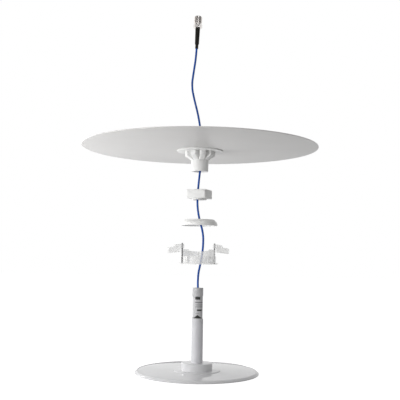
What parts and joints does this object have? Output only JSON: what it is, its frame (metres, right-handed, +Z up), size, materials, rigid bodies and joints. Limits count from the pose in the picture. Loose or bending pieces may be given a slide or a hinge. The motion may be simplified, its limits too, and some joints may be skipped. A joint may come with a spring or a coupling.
{
  "type": "low profile ceiling antenna",
  "caption": "Flat round ceiling antenna on a threaded stem with a blue coax lead and jack; its clamp ring, washer, nut and reflector disc are drawn apart along the cable.",
  "frame": {"origin": "centre of the radome's flat underside, on the stem's axis", "axes": "+Z up along the stem towards the jack, -Y towards the viewer of the picture, +X to the right"},
  "size_m": [0.46, 0.46, 0.6994],
  "materials": {
    "radome_plastic": "satin off-white moulding",
    "stem_plastic": "satin off-white moulding",
    "kit_plastic": "satin off-white moulding",
    "clamp_plastic": "pale natural moulding",
    "label_paper": "plain printed label stock",
    "circuit_board": "green board",
    "bush_rubber": "pale rubber",
    "cable_jacket": "blue extruded jacket",
    "heat_shrink": "black heat-shrink sleeve",
    "plated_metal": "bright plated",
    "feed_brass": "plain brass",
    "bead_plastic": "white insulating bead",
    "screw_steel": "dark plated steel",
    "reflector_metal": "satin light grey sheet"
  },
  "bodies": {
    "antenna": {"radome_face": "radome_plastic", "radome_back": "radome_plastic", "radiator_plate": "circuit_board", "stem_collar": "radome_plastic", "threaded_stem": "stem_plastic", "stem_tube": "stem_plastic", "label_wrap": "label_paper", "stem_cap": "stem_plastic", "cable_grommet": "bush_rubber", "feed_coax": "cable_jacket", "feed_pin": "feed_brass", "feed_ferrule": "feed_brass", "coax_cable": "cable_jacket", "cable_tail_sleeve": "heat_shrink", "cable_boot": "heat_shrink", "crimp_ferrule": "plated_metal", "connector_body": "plated_metal", "connector_insulator": "bead_plastic", "connector_contact": "feed_brass"},
    "clamp_ring": {"clamp_ring": "clamp_plastic"},
    "toggle_right": {"clamp_screw_right": "screw_steel", "toggle_right": "clamp_plastic"},
    "toggle_left": {"clamp_screw_left": "screw_steel", "toggle_left": "clamp_plastic"},
    "bezel": {"bezel_washer": "kit_plastic"},
    "lock_nut": {"lock_nut": "kit_plastic"},
    "reflector": {"reflector_hub": "kit_plastic", "reflector_plate": "reflector_metal", "hub_screws": "screw_steel"}
  },
  "joints": [
    {"name": "ring_slide", "type": "slide", "parent": "antenna", "child": "clamp_ring", "axis": [0, 0, 1], "range_m": [-0.2016, 0]},
    {"name": "bezel_slide", "type": "slide", "parent": "clamp_ring", "child": "bezel", "axis": [0, 0, 1], "range_m": [-0.0338, 0]},
    {"name": "nut_slide", "type": "slide", "parent": "bezel", "child": "lock_nut", "axis": [0, 0, 1], "range_m": [-0.0382, 0]},
    {"name": "reflector_slide", "type": "slide", "parent": "lock_nut", "child": "reflector", "axis": [0, 0, 1], "range_m": [-0.0358, 0]},
    {"name": "toggle_right_swing", "type": "hinge", "parent": "clamp_ring", "child": "toggle_right", "pos_m": [0.03139, 0.0102, 0.2374], "axis": [0, 0, 1], "range_deg": [0, 125]},
    {"name": "toggle_left_swing", "type": "hinge", "parent": "clamp_ring", "child": "toggle_left", "pos_m": [-0.03139, -0.0102, 0.2374], "axis": [0, 0, 1], "range_deg": [0, 125]}
  ]
}
